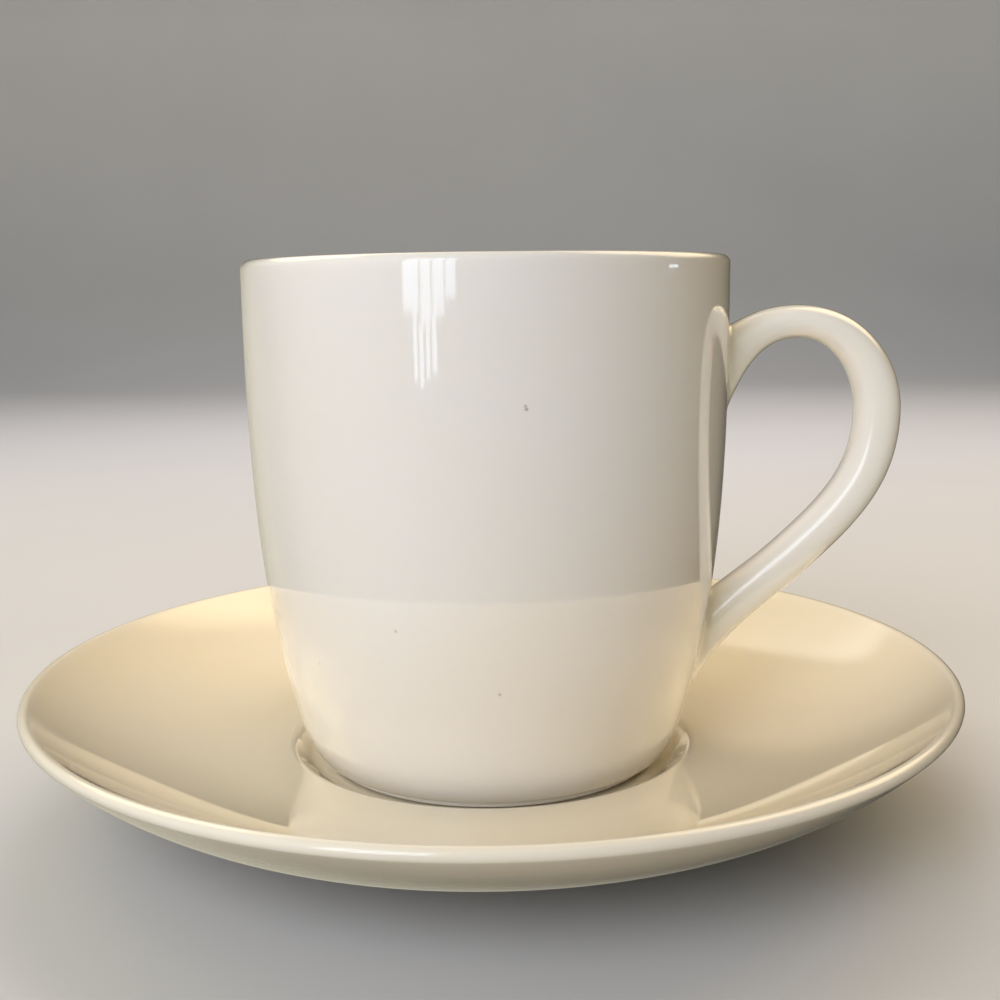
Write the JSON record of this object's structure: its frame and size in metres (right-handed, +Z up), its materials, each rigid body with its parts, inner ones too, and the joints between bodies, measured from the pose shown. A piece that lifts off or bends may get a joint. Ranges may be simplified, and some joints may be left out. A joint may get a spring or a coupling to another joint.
{
  "type": "teacup and saucer",
  "caption": "Plain straight-sided china cup with a rounded base and a tapered loop handle, standing in the recessed well of a coupe saucer.",
  "frame": {"origin": "centre of the saucer's foot ring, on the surface that it stands on", "axes": "+Z up along the common axis of cup and saucer, +X toward the handle, Y across it"},
  "size_m": [0.148, 0.148, 0.0857],
  "materials": {
    "cup_body": "glossy clear glaze over ivory-white china, bare foot ring",
    "cup_handle": "glossy clear glaze over ivory-white china",
    "saucer": "glossy clear glaze over ivory-white china, bare foot ring"
  },
  "bodies": {
    "saucer": {"saucer": "saucer"},
    "cup": {"cup_body": "cup_body", "cup_handle": "cup_handle"}
  },
  "joints": [
    {"name": "cup_lift", "type": "slide", "parent": "saucer", "child": "cup", "axis": [0, 0, 1], "range_m": [0, 0.12]}
  ]
}
